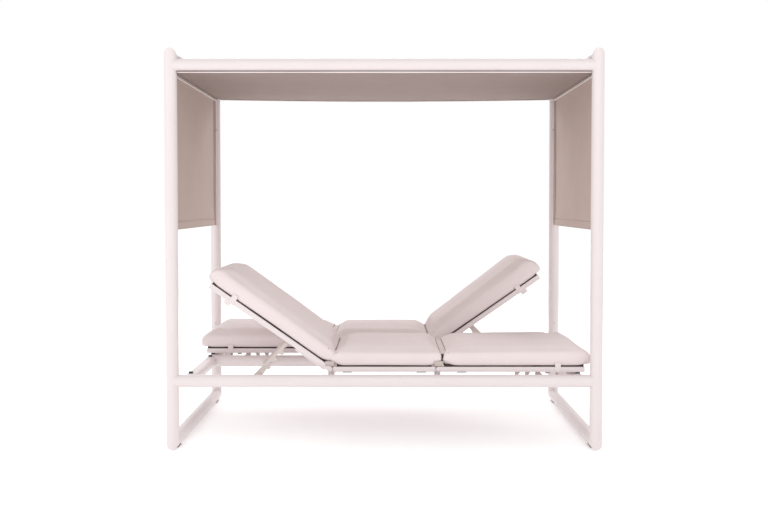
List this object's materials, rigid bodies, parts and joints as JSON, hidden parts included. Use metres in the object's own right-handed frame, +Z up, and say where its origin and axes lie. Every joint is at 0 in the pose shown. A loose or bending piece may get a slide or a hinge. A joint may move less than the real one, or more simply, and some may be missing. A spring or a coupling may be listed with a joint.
{
  "type": "double chaise lounger",
  "caption": "Canopied garden lounger: round tube frame, cloth roof and side panels, two opposite-facing padded chaises with ratchet backrests and leg panels.",
  "frame": {"origin": "centre of the footprint, on the floor", "axes": "+Z up, +X across the width to the picture's right, -Y towards the picture's viewer"},
  "size_m": [2.2155, 1.5774, 2.0317],
  "materials": {
    "frame_tube": "satin",
    "lounger_bar": "satin",
    "cushion_fabric": "woven",
    "canopy_fabric": "woven",
    "dark_rubber": "matt",
    "tie_webbing": "woven",
    "cloth_track": "satin",
    "hardware": "satin"
  },
  "bodies": {
    "frame": {"front_left_post": "frame_tube", "front_right_post": "frame_tube", "back_left_post": "frame_tube", "back_right_post": "frame_tube", "left_top_rail": "frame_tube", "right_top_rail": "frame_tube", "left_floor_rail": "frame_tube", "right_floor_rail": "frame_tube", "front_top_rail": "frame_tube", "back_top_rail": "frame_tube", "front_lower_rail": "frame_tube", "middle_lower_rail": "frame_tube", "back_lower_rail": "frame_tube", "left_lower_rail": "frame_tube", "right_lower_rail": "frame_tube", "floor_glides": "dark_rubber", "rest_bumpers": "dark_rubber", "canopy_cloth": "canopy_fabric", "left_side_cloth": "canopy_fabric", "right_side_cloth": "canopy_fabric", "left_cloth_track": "cloth_track", "right_cloth_track": "cloth_track", "post_screws": "hardware", "front_bearer_left": "frame_tube", "front_catch_bar_left": "frame_tube", "front_bearer_right": "frame_tube", "front_catch_bar_right": "frame_tube", "front_seat_frame": "lounger_bar", "front_seat_cushion": "cushion_fabric", "front_seat_pads": "dark_rubber", "rear_bearer_left": "frame_tube", "rear_catch_bar_left": "frame_tube", "rear_bearer_right": "frame_tube", "rear_catch_bar_right": "frame_tube", "rear_seat_frame": "lounger_bar", "rear_seat_cushion": "cushion_fabric", "rear_seat_pads": "dark_rubber"},
    "front_back": {"front_back_frame": "lounger_bar", "front_back_cushion": "cushion_fabric", "front_back_ties": "tie_webbing"},
    "front_leg": {"front_leg_frame": "lounger_bar", "front_leg_cushion": "cushion_fabric", "front_leg_ties": "tie_webbing", "front_leg_pads": "dark_rubber"},
    "front_back_prop": {"front_back_strut": "hardware"},
    "front_leg_prop": {"front_leg_strut": "hardware"},
    "rear_back": {"rear_back_frame": "lounger_bar", "rear_back_cushion": "cushion_fabric", "rear_back_ties": "tie_webbing"},
    "rear_leg": {"rear_leg_frame": "lounger_bar", "rear_leg_cushion": "cushion_fabric", "rear_leg_ties": "tie_webbing", "rear_leg_pads": "dark_rubber"},
    "rear_back_prop": {"rear_back_strut": "hardware"},
    "rear_leg_prop": {"rear_leg_strut": "hardware"}
  },
  "joints": [
    {"name": "front_back_tilt", "type": "hinge", "parent": "frame", "child": "front_back", "pos_m": [-0.277, -0.3785, 0.4035], "axis": [0, 1, 0], "range_deg": [-35, 0]},
    {"name": "front_leg_tilt", "type": "hinge", "parent": "frame", "child": "front_leg", "pos_m": [0.277, -0.3785, 0.4035], "axis": [0, -1, 0], "range_deg": [0, 15]},
    {"name": "front_back_prop_swing", "type": "hinge", "parent": "front_back", "child": "front_back_prop", "pos_m": [-0.48897, -0.3785, 0.54704], "axis": [0, 1, 0], "range_deg": [0, 81.29]},
    {"name": "front_leg_prop_swing", "type": "hinge", "parent": "front_leg", "child": "front_leg_prop", "pos_m": [0.61203, -0.3785, 0.3995], "axis": [0, -1, 0], "range_deg": [-43.2, 0]},
    {"name": "rear_back_tilt", "type": "hinge", "parent": "frame", "child": "rear_back", "pos_m": [0.277, 0.3785, 0.4035], "axis": [0, -1, 0], "range_deg": [-35, 0]},
    {"name": "rear_leg_tilt", "type": "hinge", "parent": "frame", "child": "rear_leg", "pos_m": [-0.277, 0.3785, 0.4035], "axis": [0, 1, 0], "range_deg": [0, 15]},
    {"name": "rear_back_prop_swing", "type": "hinge", "parent": "rear_back", "child": "rear_back_prop", "pos_m": [0.48897, 0.3785, 0.54704], "axis": [0, -1, 0], "range_deg": [0, 81.29]},
    {"name": "rear_leg_prop_swing", "type": "hinge", "parent": "rear_leg", "child": "rear_leg_prop", "pos_m": [-0.61203, 0.3785, 0.3995], "axis": [0, 1, 0], "range_deg": [-43.2, 0]}
  ],
  "couplings": [
    {"joint": "front_back_prop_swing", "follows": "front_back_tilt", "ratio": -2.3084},
    {"joint": "front_leg_prop_swing", "follows": "front_leg_tilt", "ratio": -2.8466},
    {"joint": "rear_back_prop_swing", "follows": "rear_back_tilt", "ratio": -2.3084},
    {"joint": "rear_leg_prop_swing", "follows": "rear_leg_tilt", "ratio": -2.8466}
  ]
}
